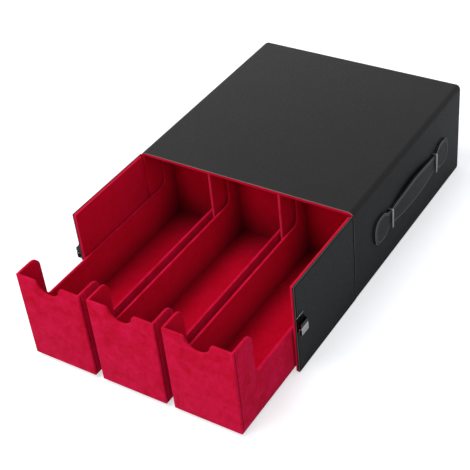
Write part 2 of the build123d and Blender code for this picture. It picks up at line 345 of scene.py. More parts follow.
# painted shade and reflection: a near-black copy of the gunmetal for the catch's hook hollow
darkRecessLook = {
    **paleGunmetalLook, "colour": (0.004, 0.004, 0.005), "edgeColour": (0.80, 0.80, 0.79),
    "roughness": (0.30, 0.44),
}
polishedSteelLook = {
    **paleGunmetalLook, "colour": (0.50, 0.49, 0.48), "edgeColour": (0.85, 0.84, 0.82),
    "streaks": (900, 900, 60), "roughness": (0.26, 0.42),
}


def makeMetal(name, look):
    material, tree = startMaterial(name, look)
    streaks = pattern(tree, 1.0, look["streaks"], Detail=3, Roughness=0.6)
    smudge = pattern(tree, look["smudgesPerMetre"], Detail=3)
    dark = tuple(channel * look["smudgeShade"] for channel in look["colour"])
    colour = wearAndHighlightEdges(tree, blendColour(tree, smudge, dark, look["colour"]), look)
    roughness = rangeOf(tree, streaks, 0.25, 0.75, *look["roughness"])
    return finishMaterial(material, colour, streaks, look["streakDepth"], roughness)


boardLook = {
    "colour": (0.30, 0.27, 0.23), "paleColour": (0.42, 0.39, 0.34),
    "shader": {"Roughness": 0.9, "Specular IOR Level": 0.2}, "fibresPerMetre": 700,
    "fibreDepth": 0.05,
}


def makeBoard(name, look):
    material, tree = startMaterial(name, look)
    fibres = pattern(tree, look["fibresPerMetre"], (1, 0.3, 1), Detail=5, Roughness=0.7)
    tone = rangeOf(tree, fibres, 0.3, 0.7, 0, 1)
    colour = blendColour(tree, tone, look["colour"], look["paleColour"])
    return finishMaterial(material, colour, fibres, look["fibreDepth"])


threadLook = {
    "colour": (0.075, 0.075, 0.073), "shader": {"Specular IOR Level": 0.5}, "twistsPerMetre": 1600,
    "twistDepth": 0.04, "roughness": (0.35, 0.6), "paleShare": 2.2,
}


def makeThread(name, look):
    material, tree = startMaterial(name, look)
    twist = pattern(tree, look["twistsPerMetre"], (1, 0.5, 1.8), Detail=2)
    pale = tuple(channel * look["paleShare"] for channel in look["colour"])
    colour = blendColour(tree, twist, look["colour"], pale)
    roughness = rangeOf(tree, twist, 0.3, 0.7, *look["roughness"])
    return finishMaterial(material, colour, twist, look["twistDepth"], roughness)


blackLeatherette = makeLeatherette("blackLeatherette", leatheretteLook)
strapLeather = makeLeatherette("strapLeather", strapLook)
creasedLeather = makeLeatherette("creasedLeather", creaseLook)
redSuede = makeSuede("redSuede", suedeLook)
innerSuede = makeSuede("innerSuede", shadedInnerSuedeLook)
suedeSeam = makeSuede("suedeSeam", shadedSuedeSeamLook)
gunmetal = makeMetal("gunmetal", gunmetalLook)
darkRecess = makeMetal("darkRecess", darkRecessLook)
paleGunmetal = makeMetal("paleGunmetal", paleGunmetalLook)
polishedSteel = makeMetal("polishedSteel", polishedSteelLook)
greyboard = makeBoard("greyboard", boardLook)
blackThread = makeThread("blackThread", threadLook)
print("materials are made")

# modelling helpers


def clearSelection():
    if bpy.context.object and bpy.context.object.mode != "OBJECT":
        bpy.ops.object.mode_set(mode="OBJECT")
    bpy.ops.object.select_all(action="DESELECT")


def selectPiece(piece):
    clearSelection()
    bpy.context.view_layer.objects.active = piece
    piece.select_set(True)


def rename(piece, name):
    piece.name = name
    piece.data.name = name


def applyPlace():
    bpy.ops.object.transform_apply(location=True, rotation=True, scale=True)


def takePiece(name):
    # its two slots hold a stand-in until finishPiece, so that a bevel can mark its faces for the pale
    # edge of wear and painted highlight
    piece = bpy.context.object
    rename(piece, name)
    applyPlace()
    piece.data.materials.append(redSuede)
    piece.data.materials.append(redSuede)
    return piece


def startBox(name, low, high):
    clearSelection()
    middle = [(a + b) / 2 * mm for a, b in zip(low, high)]
    size = [(b - a) * mm for a, b in zip(low, high)]
    bpy.ops.mesh.primitive_cube_add(size=1, location=middle, scale=size)
    return takePiece(name)


def startBar(name, middle, radius, length, along, sides):
    clearSelection()
    turn = {"X": (0, math.pi / 2, 0), "Y": (math.pi / 2, 0, 0), "Z": (0, 0, 0)}[along]
    bpy.ops.mesh.primitive_cylinder_add(
        vertices=sides, radius=radius * mm, depth=length * mm,
        location=[value * mm for value in middle], rotation=turn,
    )
    return takePiece(name)


def edit(piece):
    selectPiece(piece)
    bpy.ops.object.mode_set(mode="EDIT")


def done():
    bpy.ops.object.mode_set(mode="OBJECT")


def pick(kind, test):
    # selects the faces, edges or verts of the piece in edit mode for which test is true
    piece = bpy.context.object
    bpy.ops.mesh.select_mode(type={"faces": "FACE", "edges": "EDGE", "verts": "VERT"}[kind])
    bpy.ops.mesh.select_all(action="DESELECT")
    shape = bmesh.from_edit_mesh(piece.data)
    for item in [item for item in getattr(shape, kind) if test(item)]:
        item.select = True
    shape.select_flush_mode()
    bmesh.update_edit_mesh(piece.data)


def pickAll():
    bpy.ops.mesh.select_all(action="SELECT")


def corners(item):
    verts = [item] if isinstance(item, bmesh.types.BMVert) else item.verts
    return [corner.co / mm for corner in verts]


def within(x=None, y=None, z=None, slack=0.02):
    # true for an item whose every corner lies inside these limits
    limits = [(number, limit) for number, limit in enumerate((x, y, z)) if limit]

    def test(item):
        return all(
            low - slack <= corner[number] <= high + slack
            for corner in corners(item) for number, (low, high) in limits
        )

    return test


def at(x=None, y=None, z=None, slack=0.02):
    # true for an item whose every corner lies in these planes
    return within(*[None if place is None else (place, place) for place in (x, y, z)], slack)


def runsAlong(axis):
    number = "xyz".index(axis)

    def test(edge):
        way = edge.verts[1].co - edge.verts[0].co
        return way.length > 0 and abs(way[number]) > 0.999 * way.length

    return test


def faces(direction):
    return lambda face: face.normal.dot(Vector(direction)) > 0.999


def sharp(angle):
    return lambda edge: edge.calc_face_angle(0) > angle


def both(*tests):
    return lambda item: all(test(item) for test in tests)


def either(*tests):
    return lambda item: any(test(item) for test in tests)


def neither(*tests):
    return lambda item: not any(test(item) for test in tests)


def bevelEdges(test, radius, segments, material=0):
    pick("edges", test)
    bpy.ops.mesh.bevel(
        offset=radius * mm, offset_type="OFFSET", segments=segments, profile=0.5, affect="EDGES",
        clamp_overlap=True, material=material,
    )


def deleteFaces(test):
    pick("faces", test)
    bpy.ops.mesh.delete(type="FACE")


def insetPicked(width):
    bpy.ops.mesh.inset(thickness=width * mm, use_even_offset=True)


def slicePicked(y):
    bpy.ops.mesh.bisect(plane_co=(0, y * mm, 0), plane_no=(0, 1, 0))


def movePicked(x=0, y=0, z=0):
    bpy.ops.transform.translate(value=(x * mm, y * mm, z * mm))


def extrudePicked(x=0, y=0, z=0):
    bpy.ops.mesh.extrude_region_move(TRANSFORM_OT_translate={"value": (x * mm, y * mm, z * mm)})


def applyModifier(piece, kind, **values):
    selectPiece(piece)
    modifier = piece.modifiers.new(kind.lower(), kind)
    for name, value in values.items():
        setattr(modifier, name, value)
    bpy.ops.object.modifier_apply(modifier=modifier.name)


def cut(piece, cutter, operation="DIFFERENCE"):
    applyModifier(piece, "BOOLEAN", operation=operation, object=cutter, solver="EXACT")
    bpy.data.objects.remove(cutter)


def giveThickness(piece, thickness, side=-1):
    applyModifier(piece, "SOLIDIFY", thickness=thickness * mm, offset=side, use_even_offset=True)


def softenEdges(piece, radius, segments, angle=40, material=0):
    applyModifier(
        piece, "BEVEL", width=radius * mm, segments=segments, limit_method="ANGLE",
        angle_limit=math.radians(angle), material=material, use_clamp_overlap=True,
    )


def turnOutwards():
    pickAll()
    bpy.ops.mesh.normals_make_consistent(inside=False)


def duplicate(piece):
    copy = piece.copy()
    copy.data = piece.data.copy()
    bpy.context.scene.collection.objects.link(copy)
    return copy


def copyPiece(piece, name, shift=(0, 0, 0), mirrored=False):
    copy = duplicate(piece)
    rename(copy, name)
    selectPiece(copy)
    copy.location = [value * mm for value in shift]
    if mirrored:
        copy.scale = (-1, 1, 1)
    applyPlace()
    if mirrored:
        edit(copy)
        turnOutwards()
        done()
    return copy


def copyBothSides(piece, nodes):
    # the right piece and its mirrored copy, each in place of its own side's nodes
    copy = copyPiece(piece, piece.name.replace("right", "left"), mirrored=True)
    sides = (("right", 1, piece), ("left", -1, copy))
    for side, sign, item in sides:
        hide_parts(*[f"{side}_{node}" for node in nodes])
    return sides


def joinPieces(pieces):
    selectPiece(pieces[0])
    for piece in pieces:
        piece.select_set(True)
    bpy.ops.object.join()
    return pieces[0]


def finishPiece(piece, material, smoothAngle=40, recess=None):
    # a corner whose faces all carry the edge slot gets the pale-edge attribute, for wear and painted
    # highlight, and one material stays;
    # recess is a second, darker material of painted shade with the test for the faces that get it
    mesh = piece.data
    rolled = [True] * len(mesh.vertices)
    for face in mesh.polygons:
        if face.material_index != wearAndHighlightSlot:
            for corner in face.vertices:
                rolled[corner] = False
    wearAndHighlight = mesh.attributes.new("edgeWear", "FLOAT", "POINT")
    for number, item in enumerate(wearAndHighlight.data):
        item.value = float(rolled[number])
    mesh.materials.clear()
    mesh.materials.append(material)
    if recess:
        mesh.materials.append(recess[0])
    for face in mesh.polygons:
        face.material_index = 1 if recess and recess[1](face.center / mm) else 0
    selectPiece(piece)
    bpy.ops.object.shade_smooth_by_angle(angle=math.radians(smoothAngle))


# the case: a black cover round five boards, and a red lining turned out over their front edges

case = {
    "halfWidth": 127.5, "front": -132, "back": 132, "height": 112,
    "upperRadius": 6, "lowerRadius": 3, "cover": 0.8, "lining": 0.8, "wall": 4,
    "baseSheetEnd": 126, "liningRadius": 2, "rimRoll": 1.1, "coverEdge": 0.7,
}


def makeOuterCover(size):
    side, front, back, top = size["halfWidth"], size["front"], size["back"], size["height"]
    piece = startBox("outer_leatherette", (-side, front, 0), (side, back, top))
    edit(piece)
    topEdges = both(runsAlong("y"), at(z=top))
    backUprights = both(runsAlong("z"), at(y=back))
    topBack = both(runsAlong("x"), at(y=back, z=top))
    bevelEdges(either(topEdges, backUprights, topBack), size["upperRadius"], 8)
    atFront = at(y=front)
    bevelEdges(both(at(z=0), neither(atFront)), size["lowerRadius"], 4)
    pick("faces", both(faces((0, 0, -1)), at(z=0)))
    slicePicked(size["baseSheetEnd"])
    underside = both(faces((0, 0, -1)), within(y=(front, size["baseSheetEnd"]), z=(0, 0)))
    deleteFaces(either(underside, both(faces((0, -1, 0)), atFront)))
    done()
    giveThickness(piece, size["cover"])
    edit(piece)
    bevelEdges(both(atFront, sharp(1)), size["coverEdge"], 4, wearAndHighlightSlot)
    done()
    finishPiece(piece, blackLeatherette, 30)
    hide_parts("outer_cover")
    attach(piece, "case")


def makeCaseLining(size):
    side, front, top = size["halfWidth"], size["front"], size["height"]
    skin, wall = size["cover"], size["wall"]
    behind, deep = front + size["lining"], size["back"] - wall
    piece = startBox("case_suede", (-side + skin, front, skin), (side - skin, behind, top - skin))
    edit(piece)
    bevelEdges(both(runsAlong("y"), at(z=top - skin)), size["upperRadius"] - skin, 8)
    pick("faces", faces((0, -1, 0)))
    insetPicked(wall - skin)
    inner = within(x=(-side + wall, side - wall), y=(front, front), z=(wall, top - wall))
    pick("faces", both(faces((0, -1, 0)), inner))
    extrudePicked(y=deep - front)
    bevelEdges(both(runsAlong("y"), at(z=skin)), size["lowerRadius"] - skin, 4)
    bevelEdges(both(at(y=deep), neither(at(z=wall))), size["liningRadius"], 4)
    bevelEdges(both(inner, sharp(1)), size["rimRoll"], 4, wearAndHighlightSlot)
    # only the rim under the top keeps the pale edge, as a painted highlight where the light falls from
    # above
    pick("faces", within(z=(0, top - wall)))
    piece.active_material_index = 0
    bpy.ops.object.material_slot_assign()
    # the back of the turned rim and its outer edges go, and giveThickness closes the sheet again
    outerEdge = both(
        within(y=(front, behind)), lambda face: abs(face.normal.y) < 0.01,
        neither(within(x=(-side + wall, side - wall), z=(wall, top - wall))),
    )
    deleteFaces(either(both(faces((0, 1, 0)), at(y=behind)), outerEdge))
    done()
    giveThickness(piece, size["lining"])
    finishPiece(piece, innerSuede, 50)
    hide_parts("case_lining")
    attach(piece, "case")


makeOuterCover(case)
makeCaseLining(case)
print("case cover and lining are made")

# dividers: suede folded round the front edge of each upright board

divider = {
    "x": 42, "halfThickness": 1.3, "front": -131, "back": 128, "low": 4, "high": 108,
    "suede": 0.5, "foldRadius": 1.2,
}


def makeDividerSleeve(size, sign, side):
    x, half, front = size["x"] * sign, size["halfThickness"], size["front"]
    piece = startBox(
        side + "_divider_suede", (x - half, front, size["low"]), (x + half, size["back"], size["high"])
    )
    edit(piece)
    deleteFaces(either(faces((0, 0, 1)), faces((0, 0, -1)), faces((0, 1, 0))))
    bevelEdges(both(runsAlong("z"), at(y=front)), size["foldRadius"], 5, wearAndHighlightSlot)
    done()
    giveThickness(piece, size["suede"])
    finishPiece(piece, innerSuede, 60)
    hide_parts(side + "_divider_sleeve")
    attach(piece, "case")


for side, sign in (("left", -1), ("right", 1)):
    makeDividerSleeve(divider, sign, side)
print("dividers are covered")

# drawers: shaped once in the middle bay as one solid tray, then parted into outer and inner suede

drawer = {
    "halfWidth": 37.75, "front": -345, "length": 258.5, "low": 4.3, "high": 106.3, "wall": 2.5,
    "frontPost": 31, "rearPost": 20.5, "lowWallTop": 56, "postRadius": 10,
    "frontScoop": 6, "rearScoop": 8, "notchRadius": 14, "lipRadius": 3.5,
    "cornerRadius": 1.6, "topRoll": 0.8, "plainFoot": 30, "suede": 0.5, "spacing": 84,
    "seamBack": 2.6, "seamWidth": 0.9, "seamDepth": 0.36,
}


def postFaces(size):
    # where the front posts end and where the rear posts start
    front = size["front"]
    return front + size["frontPost"], front + size["length"] - size["rearPost"]


def scoopCutter(size):
    # what is cut away between the posts of both long sides
    side, low = size["halfWidth"] + 5 * spare, size["lowWallTop"]
    start, end = postFaces(size)
    cutter = startBox("scoop", (-side, start, low), (side, end, size["high"] + 5 * spare))
    edit(cutter)
    for y, radius in ((start, size["frontScoop"]), (end, size["rearScoop"])):
        bevelEdges(both(runsAlong("x"), at(y=y, z=low)), radius, 8)
    done()
    return cutter


def notchCutter(size):
    # a half round for a finger, its two lips flared out by a small radius
    start, top = size["front"] - spare, size["high"]
    radius, lip = size["notchRadius"], size["lipRadius"]
    depth = size["wall"] + 2 * spare
    lipOut = math.sqrt((radius + lip) ** 2 - lip ** 2)
    tangentDrop = lip * radius / (radius + lip)
    cutter = startBox(
        "notch", (-lipOut, start, top - tangentDrop), (lipOut, start + depth, top + 5 * spare)
    )
    for sign in (-1, 1):
        middle = (sign * lipOut, size["front"], top - lip)
        cut(cutter, startBar("lip", middle, lip, depth * 3, "Y", 40))
    cut(cutter, startBar("bowl", (0, start + depth / 2, top), radius, depth, "Y", 72), "UNION")
    return cutter


def shapeTray(size):
    side, front, wall = size["halfWidth"], size["front"], size["wall"]
    rear, low, top = front + size["length"], size["low"], size["high"]
    tray = startBox("middle_drawer_outside", (-side, front, low), (side, rear, top))
    edit(tray)
    pick("faces", faces((0, 0, 1)))
    insetPicked(wall)
    extrudePicked(z=low + wall - top)
    done()
    cut(tray, scoopCutter(size))
    edit(tray)
    postTops = either(*[both(runsAlong("x"), at(y=y, z=top)) for y in postFaces(size)])
    bevelEdges(postTops, size["postRadius"], 10)
    done()
    cut(tray, notchCutter(size))
    edit(tray)
    pickAll()
    bpy.ops.mesh.remove_doubles(threshold=0.01 * mm)
    upright = both(
        runsAlong("z"), either(at(x=side), at(x=-side)), either(at(y=front), at(y=rear))
    )
    bevelEdges(both(sharp(1), either(at(z=low), upright)), size["cornerRadius"], 4)
    topEdges = neither(within(z=(low, low + size["plainFoot"])), runsAlong("z"))
    postUprights = either(*[at(y=y) for y in postFaces(size)])
    bevelEdges(both(sharp(0.7), either(topEdges, postUprights)), size["topRoll"], 3, wearAndHighlightSlot)
    done()
    # the front board was wrapped on its own: its seam runs up each side just behind the front corner
    for sign in (-1, 1):
        near, far = sorted((sign * (side - size["seamDepth"]), sign * (side + 2 * spare)))
        y = front + size["seamBack"]
        cut(tray, startBox(
            "seam", (near, y, low - spare), (far, y + size["seamWidth"], top + spare)
        ))
    return tray


def inSeam(size):
    start, end = size["front"] + size["seamBack"], size["front"] + size["seamBack"] + size["seamWidth"]
    outer = size["halfWidth"]
    return lambda middle: start - nearly < middle.y < end + nearly and abs(middle.x) < outer - nearly


def makeDrawers(size):
    tray = shapeTray(size)
    side, front, wall = size["halfWidth"], size["front"], size["wall"]
    rear = front + size["length"]
    edit(tray)
    pick("faces", within(
        x=(-side + wall, side - wall), y=(front + wall, rear - wall), z=(size["low"] + wall, size["high"])
    ))
    bpy.ops.mesh.separate(type="SELECTED")
    done()
    inside = [item for item in bpy.context.selected_objects if item is not tray][0]
    rename(inside, "middle_drawer_inside")
    # the outside's seam grooves take the darker suede as painted shade
    for piece, node, suede, recess in (
        (tray, "outer_suede", redSuede, (suedeSeam, inSeam(size))),
        (inside, "inner_suede", innerSuede, None),
    ):
        giveThickness(piece, size["suede"])
        finishPiece(piece, suede, 50, recess)
        for name, shift in (("left", -size["spacing"]), ("right", size["spacing"])):
            copy = copyPiece(piece, piece.name.replace("middle", name), (shift, 0, 0))
            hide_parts(f"{name}_drawer_{node}")
            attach(copy, name + "_drawer")
        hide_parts("middle_drawer_" + node)
        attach(piece, "middle_drawer")


makeDrawers(drawer)
print("drawers are covered")

# doors: the black cover runs on past the door's end as the leather of its hinge

door = {
    "outer": 127.5, "underCover": 126.7, "hem": 1.5, "inner": 123.5,
    "end": -250, "start": -136.3, "case": -132, "low": 1.5, "high": 109.8,
    "cornerRadius": 1.2, "coverEdge": 0.35, "hingeEdge": 0.7, "liningRoll": 0.8,
    "lining": 0.7, "liningInset": 0.1, "liningOverEnd": 0.2,
    "hingeSteps": 8, "hingeLining": 0.4, "hingeInset": 0.3, "hingeRise": 0.5,
    "hemWidth": 1.7, "hemLine": 0.7, "hemDepth": 0.35,
    "creaseStep": 6, "creaseDepth": 0.65, "creaseReach": 1.9, "creaseShoulder": 0.8,
}


def roundDoorCorners(size, end):
    # the two corners of the free end, seen from the side
    bevelEdges(both(runsAlong("x"), at(y=end)), size["cornerRadius"], 4)


def makeDoorCover(size):
    # a shallow tray: the leatherette is folded over the board's edges as a narrow hem
    outer, start = size["outer"], size["start"]
    piece = startBox(
        "right_door_leatherette", (outer - size["hem"], size["end"], size["low"]),
        (outer, start, size["high"]),
    )
    edit(piece)
    roundDoorCorners(size, size["end"])
    deleteFaces(either(faces((-1, 0, 0)), faces((0, 1, 0))))
    done()
    giveThickness(piece, outer - size["underCover"])
    edit(piece)
    pick("faces", both(within(x=(size["underCover"], outer), y=(start, start)), faces((0, 1, 0))))
    stepLength = (size["case"] - start) / size["hingeSteps"]
    for step in range(size["hingeSteps"]):
        extrudePicked(y=stepLength)
    atCase = at(y=size["case"])
    bevelEdges(both(at(x=outer), neither(atCase), sharp(0.7)), size["coverEdge"], 2, wearAndHighlightSlot)
    bevelEdges(both(atCase, at(x=outer, slack=0.1), sharp(0.7)), size["hingeEdge"], 3)
    # the hinge leather is creased where the door meets the case
    shoulder = size["creaseShoulder"]
    for step, share in ((-1, shoulder), (0, 1), (1, shoulder)):
        pick("verts", at(x=outer, y=start + (size["creaseStep"] + step) * stepLength))
        movePicked(x=-share * size["creaseDepth"])
    done()
    # and a pressed line follows the folded edge
    line, depth, hem = size["hemLine"], outer - size["hemDepth"], size["hemWidth"]
    near, low, high = size["end"] + hem, size["low"] + hem, size["high"] - hem
    for lowCorner, highCorner in (
        ((depth, near, high - line), (outer + spare, start, high)),
        ((depth, near, low), (outer + spare, start, low + line)),
        ((depth, near, low), (outer + spare, near + line, high)),
    ):
        cut(piece, startBox("line", lowCorner, highCorner))
    return piece


def inCrease(size):
    # the pressed line and the fold of the hinge, below the outer face
    step = (size["case"] - size["start"]) / size["hingeSteps"]
    fold = size["start"] + size["creaseStep"] * step
    edge = size["hemWidth"] - nearly

    def test(middle):
        depth = size["outer"] - abs(middle.x)
        folded = abs(middle.y - fold) < size["creaseReach"] * step
        framed = (
            size["end"] + edge < middle.y < size["start"] + nearly
            and size["low"] + edge < middle.z < size["high"] - edge
        )
        return (
            folded and 2 * nearly < depth < size["creaseDepth"]
            or framed and nearly < depth < size["hemDepth"] + nearly
        )

    return test


def makeDoorLining(size):
    inner, inset = size["inner"], size["liningInset"]
    end = size["end"] + inset
    piece = startBox(
        "right_door_suede", (inner, end, size["low"] + inset),
        (size["outer"] - size["hem"], size["start"] + size["liningOverEnd"], size["high"] - inset),
    )
    edit(piece)
    roundDoorCorners(size, end)
    deleteFaces(faces((1, 0, 0)))
    bevelEdges(both(at(x=inner), sharp(0.7)), size["liningRoll"], 4, wearAndHighlightSlot)
    done()
    giveThickness(piece, size["lining"])
    return piece


def makeHingeLining(size):
    # red suede pressed into the fold between the case's rim and the door
    outer, inner = size["underCover"], size["underCover"] - size["hingeLining"]
    start, end, inset = size["start"] + size["liningOverEnd"], size["case"], size["hingeInset"]
    piece = startBox(
        "right_hinge_suede", (inner, start, size["low"] + inset), (outer, end, size["high"] - inset)
    )
    edit(piece)
    stepLength = (end - start) / size["hingeSteps"]
    for step in range(1, size["hingeSteps"]):
        pickAll()
        slicePicked(start + step * stepLength)
    # the sides of the fold rise a little towards the rim and the door
    for y in (start, end):
        pick("verts", at(x=inner, y=y))
        movePicked(x=-size["hingeRise"])
    done()
    return piece


def makeDoors(size):
    made = (
        (makeDoorCover(size), blackLeatherette, "black_leatherette", ("door_cover", "door_hinge_strip")),
        (makeDoorLining(size), innerSuede, "red_suede", ("door_lining",)),
        (makeHingeLining(size), innerSuede, "red_suede", ("door_hinge_strip",)),
    )
    for piece, material, slotName, replaced in made:
        creased = (creasedLeather, inCrease(size)) if material is blackLeatherette else None
        finishPiece(piece, material, 50, creased)
        for side, sign, item in copyBothSides(piece, replaced):
            if "door_hinge_strip" in replaced:
                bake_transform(item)
            else:
                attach(item, side + "_door")


makeDoors(door)
print("doors are covered")

# clasps: a cast catch with a hook trough, and a flip lever on a pin

clasp = {
    "face": 127.5, "nearEnd": -249.7, "length": 12.5, "low": 50.5, "high": 71.6, "plate": 0.8,
    "reach": 5.7, "lipOut": 5.1, "lipHeight": 65.4, "blockLow": 61.0, "troughOut": 4.7,
    "troughHeight": 69.3, "troughRadius": 3.9, "pinOut": 3.3, "pinHeight": 58.7, "pinRadius": 0.8,
    "pinDome": 0.15, "pinRound": 0.3, "barrel": 2.3, "clearance": 0.2, "lugRadius": 1.2,
    "lugWidth": 1.2, "leverThickness": 1.0, "leverLow": 52.2, "leverLip": 0.8, "leverLipIn": 1.3,
    "edge": 0.12, "edgeAngle": 38, "brightEdge": 0.25, "lipEdge": 0.18, "overlap": 0.2,
    "rivetHeight": 55, "rivetSpacing": 6, "rivetHead": 1.2, "rivetShank": 0.7, "headHeight": 0.5,
    "headRound": 0.4, "shankLength": 4.0,
}


def claspEnds(size, ends):
    return size["nearEnd"] + ends[0], size["nearEnd"] + size["length"] - ends[1]


def claspBox(name, size, out, heights, ends=(0, 0)):
    # a block on the door's outside: how far out, between which heights, and how far in from each end
    near, far = claspEnds(size, ends)
    return startBox(
        name, (size["face"] + out[0], near, heights[0]), (size["face"] + out[1], far, heights[1])
    )


def claspBar(name, size, out, height, radius, ends=(0, 0), sides=40):
    near, far = claspEnds(size, ends)
    middle = (size["face"] + out, (near + far) / 2, height)
    return startBar(name, middle, radius, far - near, "Y", sides)


def makeCatch(size):
    face, plate, reach, foot = size["face"], size["plate"], size["reach"], size["blockLow"]
    hollow, pinOut, pinHeight = size["troughHeight"], size["pinOut"], size["pinHeight"]
    piece = claspBox("right_clasp_body", size, (0, reach), (foot, hollow))
    # its outer side leans back from the foot to the lip
    lean = (reach - size["lipOut"]) / (size["lipHeight"] - foot)
    edit(piece)
    pick("verts", at(x=face + reach, z=hollow))
    movePicked(x=-lean * (hollow - foot))
    done()
    past, seat = (-spare, -spare), size["barrel"] + size["clearance"]
    cut(piece, claspBar("trough", size, size["troughOut"], hollow, size["troughRadius"], past, 64))
    cut(piece, claspBar("seat", size, pinOut, pinHeight, seat, past))
    cut(piece, claspBox("plate", size, (0, plate), (size["low"], size["high"])), "UNION")
    lugEnd, radius = size["length"] - size["lugWidth"], size["lugRadius"]
    for ends in ((0, lugEnd), (lugEnd, 0)):
        lug = claspBar("lug", size, pinOut, pinHeight, radius, ends)
        heights = (pinHeight - radius, pinHeight + radius)
        cut(lug, claspBox("web", size, (size["overlap"], pinOut), heights, ends), "UNION")
        cut(piece, lug, "UNION")
    edit(piece)
    shortest = 0.3 * size["length"] * mm
    for out, height, width in (
        (plate, size["high"], size["brightEdge"]),
        (reach, foot, size["brightEdge"]),
        (size["lipOut"], size["lipHeight"], size["lipEdge"]),
    ):
        bevelEdges(both(
            at(x=face + out, z=height, slack=0.15), runsAlong("y"), sharp(0.6),
            lambda edge: edge.calc_length() > shortest,
        ), width, 3, wearAndHighlightSlot)
    done()
    softenEdges(piece, size["edge"], 2, size["edgeAngle"], wearAndHighlightSlot)
    return piece


def makeLever(size):
    out, height, barrel, overlap = size["pinOut"], size["pinHeight"], size["barrel"], size["overlap"]
    faceOut, low = out + barrel, size["leverLow"]
    faceIn = faceOut - size["leverThickness"]
    piece = claspBox("right_clasp_flap", size, (faceIn, faceOut), (low, height))
    lip = (size["leverLipIn"], faceOut - overlap)
    cut(piece, claspBox("lip", size, lip, (low, low + size["leverLip"])), "UNION")
    brow = claspBar("brow", size, out, height, barrel)
    front = (faceIn, faceOut + spare)
    heights = (height - overlap, height + barrel + spare)
    cut(brow, claspBox("front", size, front, heights), "INTERSECT")
    cut(piece, brow, "UNION")
    side = size["lugWidth"] + size["clearance"]
    cut(piece, claspBar("barrel", size, out, height, barrel, (side, side)), "UNION")
    softenEdges(piece, size["edge"], 2, size["edgeAngle"], wearAndHighlightSlot)
    return piece


def makePin(size):
    out, height, radius, dome = size["pinOut"], size["pinHeight"], size["pinRadius"], size["pinDome"]
    piece = claspBar("right_clasp_axle", size, out, height, radius, (-dome, -dome), 24)
    softenEdges(piece, size["pinRound"], 3)
    return piece


def makeRivets(size):
    middle = size["nearEnd"] + size["length"] / 2
    face, headHeight = size["face"] + size["plate"], size["headHeight"]
    rivets = []
    for shift in (-size["rivetSpacing"] / 2, size["rivetSpacing"] / 2):
        place = (face + headHeight / 2, middle + shift, size["rivetHeight"])
        rivet = startBar("right_clasp_studs", place, size["rivetHead"], headHeight, "X", 24)
        edit(rivet)
        pick("faces", faces((-1, 0, 0)))
        insetPicked(size["rivetHead"] - size["rivetShank"])
        extrudePicked(x=-size["shankLength"])
        bevelEdges(at(x=face + headHeight), size["headRound"], 4)
        done()
        rivets.append(rivet)
    return joinPieces(rivets)


def inTrough(size):
    # painted shade and dark reflection in the hollow of the hook and on the plate behind it
    plate, hollow = size["plate"], size["troughHeight"]

    def test(middle):
        out, height = middle.x - size["face"], middle.z
        fromMiddle = math.hypot(out - size["troughOut"], height - hollow)
        onPlate = hollow < height and plate - nearly < out < plate + 2 * nearly
        return onPlate or fromMiddle < size["troughRadius"] + nearly

    return test


# painted shade: the lever's end faces take the dark gunmetal, while the rest of the lever takes the pale
# gunmetal as a painted highlight, lit and shaded copies of one metal
def atLeverEnds(size):
    near, far = claspEnds(size, (nearly, nearly))
    return lambda middle: not near < middle.y < far


def makeClasps(size):
    made = (
        (makeCatch(size), "clasp_catch", gunmetal, "gunmetal", "door", (darkRecess, inTrough(size))),
        (makeLever(size), "clasp_lever", paleGunmetal, "gunmetal", "clasp_lever",
         (gunmetal, atLeverEnds(size))),
        (makePin(size), "clasp_pin", polishedSteel, "plain_steel", "door", None),
        (makeRivets(size), "clasp_rivets", polishedSteel, "plain_steel", "door", None),
    )
    for piece, node, material, slotName, body, darker in made:
        finishPiece(piece, material, 35, darker)
        for side, sign, item in copyBothSides(piece, [node]):
            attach(item, f"{side}_{body}")


makeClasps(clasp)
print("clasps are made")

# handle on the right side: two metal loops, and a stitched strap that is loose in them

handle = {
    "face": 127.5, "height": 54, "loopSpacing": 110, "loopHeight": 24, "loopReach": 5.5,
    "barWidth": 2.6, "barThickness": 1.6, "legEnd": 124.3, "loopCorner": 0.9, "loopEdge": 0.5,
    "strapGap": 0.3, "strapThickness": 2.6, "halfLength": 91,
    "gripHalf": 14, "neckHalf": 10, "tabHalf": 16, "neckStart": 49, "neckEnd": 59, "flareEnd": 71,
    "tabRadius": 12, "bow": 2.3, "bowHalf": 14, "arch": 2.2, "archHalf": 6, "riseLength": 44,
    "crown": 0.35, "crownSteps": ((0.35, 78), (0.65, 82), (0.85, 86)),
    "strapEdge": 0.6, "columns": 6,
    "stations": (
        0, 4, 8, 12, 16, 20, 24, 28, 32, 36, 40, 44, 47, 50, 53, 57, 59, 61, 62.5, 64, 65.5, 67, 68.5,
        70, 72, 74, 76, 79, 81, 83, 85, 86.8, 88.4, 89.8, 91,
    ),
    "stitchInset": 2.3, "stitchLength": 2.8, "stitchPitch": 3.4, "stitchRadius": 0.40,
    "stitchRise": 0.02, "endInset": 0.12, "endSink": 0.22, "seamSteps": 240,
}


def makeLoop(size, name, y):
    half, bar, leg = size["barWidth"] / 2, size["barThickness"], size["legEnd"]
    low, high = size["height"] - size["loopHeight"] / 2, size["height"] + size["loopHeight"] / 2
    reach = size["face"] + size["loopReach"]
    piece = startBox(name + "_handle_staple", (leg, y - half, low), (reach, y + half, high))
    gapLow = (leg - 5 * spare, y - half - spare, low + bar)
    cut(piece, startBox("gap", gapLow, (reach - bar, y + half + spare, high - bar)))
    edit(piece)
    bevelEdges(both(runsAlong("y"), at(x=reach)), size["loopCorner"], 4)
    done()
    softenEdges(piece, size["loopEdge"], 3)
    finishPiece(piece, polishedSteel)
    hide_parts(name + "_handle_loop")
    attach(piece, "case")


def ease(share):
    share = min(max(share, 0), 1)
    return share * share * (3 - 2 * share)


